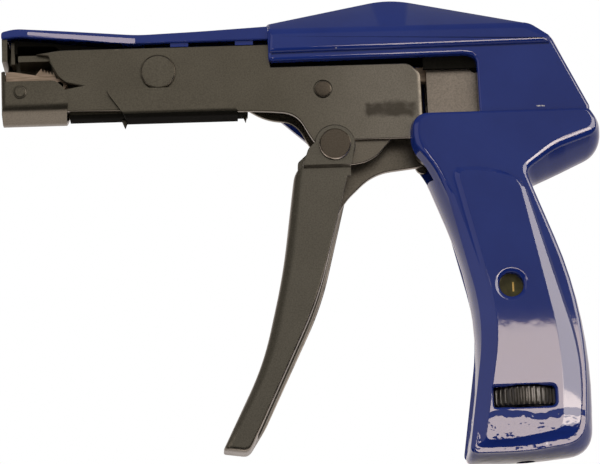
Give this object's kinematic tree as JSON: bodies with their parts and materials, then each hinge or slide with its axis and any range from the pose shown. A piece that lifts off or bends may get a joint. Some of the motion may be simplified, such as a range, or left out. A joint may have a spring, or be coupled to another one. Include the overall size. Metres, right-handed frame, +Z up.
{
  "type": "cable tie tensioning tool",
  "caption": "Pistol-shaped hand tool that pulls a cable tie tight and cuts off its tail, with a steel barrel, a trigger, a cast housing and a tension thumbwheel.",
  "frame": {"origin": "middle of the tool across, half way along its length, level with the foot of the grip", "axes": "X from the nose to the tail, Y across the tool with the number window on the minus side, Z up the grip"},
  "size_m": [0.166, 0.022, 0.1319],
  "materials": {
    "housing_blue": "glossy blue enamel on die-cast metal",
    "steel_black": "oiled olive-black phosphate on pressed steel",
    "steel_dark": "dark oxide on folded sheet and pins",
    "steel_bare": "bare hardened steel, lightly polished",
    "wheel_black": "moulded black plastic, ribbed",
    "number_olive": "olive plate with gold numbers"
  },
  "bodies": {
    "frame": {"housing_left": "housing_blue", "housing_right": "housing_blue", "housing_screws": "steel_black", "barrel_cover": "housing_blue", "side_plate_left": "steel_black", "side_plate_right": "steel_black", "barrel_channel": "steel_dark", "frame_liner": "steel_black", "nose_cap": "steel_black", "nose_ramp": "steel_bare", "nose_wall": "steel_black", "upper_jaw": "steel_black", "nose_pin": "steel_black", "saddle_clip": "steel_black", "lever_pin": "steel_dark", "frame_rivet": "steel_dark", "trigger_pin": "steel_dark", "crank_pin": "steel_dark", "screw_bush": "steel_bare", "yoke_guide": "steel_dark", "trigger_spring": "steel_bare", "tension_spring": "steel_bare"},
    "trigger": {"trigger": "steel_black", "trigger_arm": "steel_black", "arm_rivets": "steel_dark", "arm_pin": "steel_dark"},
    "crank": {"bell_crank": "steel_black"},
    "rod": {"pull_rod": "steel_bare", "rod_yoke": "steel_black", "yoke_pin": "steel_dark", "pawl_pin": "steel_dark"},
    "gripper": {"gripper_pawl": "steel_bare"},
    "lever": {"cutoff_lever": "steel_dark", "cutter_blade": "steel_black", "blade_rivets": "steel_dark", "link_pin": "steel_dark"},
    "link": {"pull_link": "steel_bare"},
    "wheel": {"thumbwheel": "wheel_black", "adjusting_screw": "steel_bare"},
    "nut": {"spring_nut": "steel_bare", "number_plate": "number_olive"}
  },
  "joints": [
    {"name": "trigger_squeeze", "type": "hinge", "parent": "frame", "child": "trigger", "pos_m": [0.0086, 0, 0.089], "axis": [0, -1, 0], "range_deg": [0, 28], "stiffness_Nm_per_rad": 0.25, "springref_deg": -20.05, "deforming": ["trigger_spring"]},
    {"name": "crank_turn", "type": "hinge", "parent": "frame", "child": "crank", "pos_m": [0.05345, 0, 0.097], "axis": [0, 1, 0], "range_deg": [0, 37.19]},
    {"name": "rod_pull", "type": "slide", "parent": "frame", "child": "rod", "axis": [1, 0, 0], "range_m": [0, 0.00924]},
    {"name": "gripper_tip", "type": "hinge", "parent": "rod", "child": "gripper", "pos_m": [-0.067, 0, 0.10942], "axis": [0, 1, 0], "range_deg": [0, 8], "stiffness_Nm_per_rad": 0.01, "springref_deg": -20.05},
    {"name": "cutoff_tip", "type": "hinge", "parent": "frame", "child": "lever", "pos_m": [-0.03961, 0, 0.11141], "axis": [0, -1, 0], "range_deg": [0, 2.6], "stiffness_Nm_per_rad": 2, "springref_deg": -4.98},
    {"name": "link_lift", "type": "slide", "parent": "frame", "child": "link", "axis": [0, 0, 1], "range_m": [0, 0.0045]},
    {"name": "thumbwheel_turn", "type": "hinge", "parent": "frame", "child": "wheel", "pos_m": [0.0573, 0, 0.0166], "axis": [0, 0, 1], "range_deg": [0, 1441]},
    {"name": "nut_travel", "type": "slide", "parent": "frame", "child": "nut", "axis": [0, 0, 1], "range_m": [-0.012, 0]}
  ],
  "couplings": [
    {"joint": "crank_turn", "follows": "trigger_squeeze", "ratio": 1.3264},
    {"joint": "rod_pull", "follows": "trigger_squeeze", "m_per_rad": 0.018898},
    {"joint": "link_lift", "follows": "cutoff_tip", "m_per_rad": 0.097508},
    {"joint": "thumbwheel_turn", "follows": "nut_travel", "rad_per_m": -2094.4}
  ]
}
